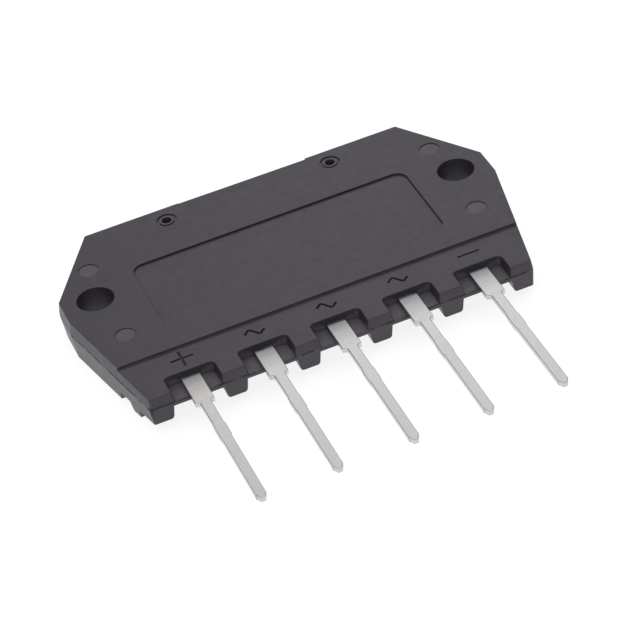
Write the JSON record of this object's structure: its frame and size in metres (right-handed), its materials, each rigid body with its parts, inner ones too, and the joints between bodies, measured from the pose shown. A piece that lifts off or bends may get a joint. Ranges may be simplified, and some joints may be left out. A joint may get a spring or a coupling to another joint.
{
  "type": "three-phase bridge rectifier module",
  "caption": "Flat moulded three-phase bridge rectifier with screw holes at both ends, a copper-faced ceramic mounting face and a row of flat solder pins.",
  "frame": {"origin": "on the mounting face, midway between the two screw holes", "axes": "+X along the pin row towards the minus pin, +Y away from the pins, +Z out of the front face"},
  "size_m": [0.0616, 0.0603, 0.006],
  "materials": {
    "moulding": "fine matt epoxy moulding",
    "tinned_lead": "bright tin over copper, slightly scuffed",
    "copper": "matt bonded copper",
    "ceramic": "fired white alumina",
    "solder": "dull solder",
    "silicon": "metallised silicon",
    "bond_wire": "drawn aluminium"
  },
  "bodies": {
    "root": {"moulded_body": "moulding", "plus_pin": "tinned_lead", "ac_pin_1": "tinned_lead", "ac_pin_2": "tinned_lead", "ac_pin_3": "tinned_lead", "minus_pin": "tinned_lead", "back_copper": "copper", "ceramic_plate": "ceramic", "plus_track": "copper", "ac_track_1": "copper", "ac_track_2": "copper", "ac_track_3": "copper", "minus_track": "copper", "plus_pin_solder": "solder", "ac_pin_solder_1": "solder", "ac_pin_solder_2": "solder", "ac_pin_solder_3": "solder", "minus_pin_solder": "solder", "plus_diode_solder_1": "solder", "plus_diode_solder_2": "solder", "plus_diode_solder_3": "solder", "minus_diode_solder_1": "solder", "minus_diode_solder_2": "solder", "minus_diode_solder_3": "solder", "plus_diode_1": "silicon", "plus_diode_2": "silicon", "plus_diode_3": "silicon", "minus_diode_1": "silicon", "minus_diode_2": "silicon", "minus_diode_3": "silicon", "plus_diode_wires_1": "bond_wire", "plus_diode_wires_2": "bond_wire", "plus_diode_wires_3": "bond_wire", "minus_diode_wires_1": "bond_wire", "minus_diode_wires_2": "bond_wire", "minus_diode_wires_3": "bond_wire"}
  },
  "joints": []
}
